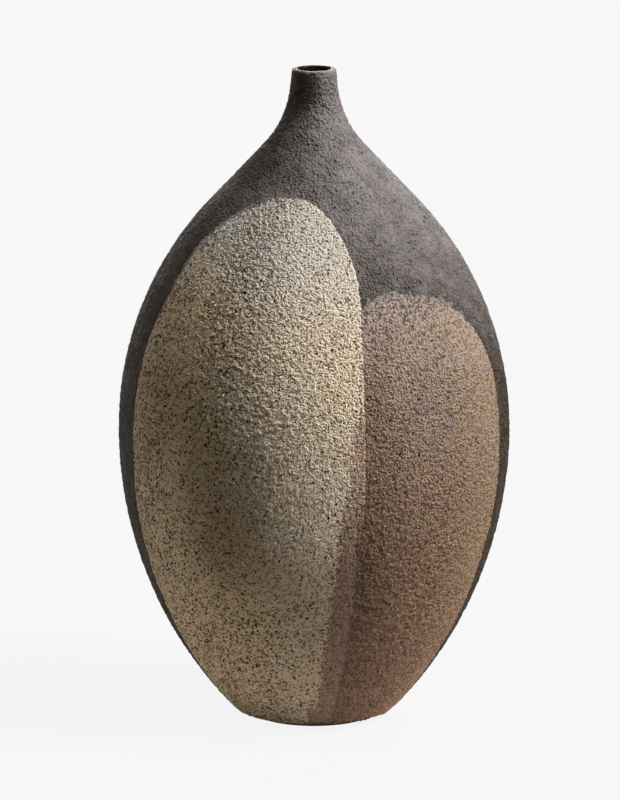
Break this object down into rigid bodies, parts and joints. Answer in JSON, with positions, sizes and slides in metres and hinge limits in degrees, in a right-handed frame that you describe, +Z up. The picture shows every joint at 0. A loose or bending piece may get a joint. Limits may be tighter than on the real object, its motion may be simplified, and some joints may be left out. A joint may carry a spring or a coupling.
{
  "type": "vase",
  "caption": "Tall egg-shaped earthenware vase with a narrow flared neck and a rounded lip, a rough dark glaze, and a pale and a rust-brown glaze lobe side by side down the front.",
  "frame": {"origin": "centre of the standing ring, on the surface that the vase stands on", "axes": "+Z up along the vase's turning axis, -Y towards the front with the two glaze lobes, +X to the right as seen from the front"},
  "size_m": [0.2979, 0.2989, 0.5],
  "materials": {
    "clay": "bare fired red-brown earthenware",
    "slip": "fired clay slip",
    "liner_glaze": "glossy near-black glaze",
    "ground_glaze": "rough warm charcoal glaze with a low sheen",
    "pale_glaze": "grainy matt ash-cream glaze with dark pits",
    "rust_glaze": "grainy matt rust-brown glaze"
  },
  "bodies": {
    "root": {"base": "clay", "lower_wall": "clay", "upper_wall": "clay", "neck": "clay", "base_slip": "slip", "belly_slip": "slip", "neck_slip": "slip", "liner_glaze": "liner_glaze", "ground_glaze": "ground_glaze", "pale_glaze": "pale_glaze", "rust_glaze": "rust_glaze"}
  },
  "joints": []
}
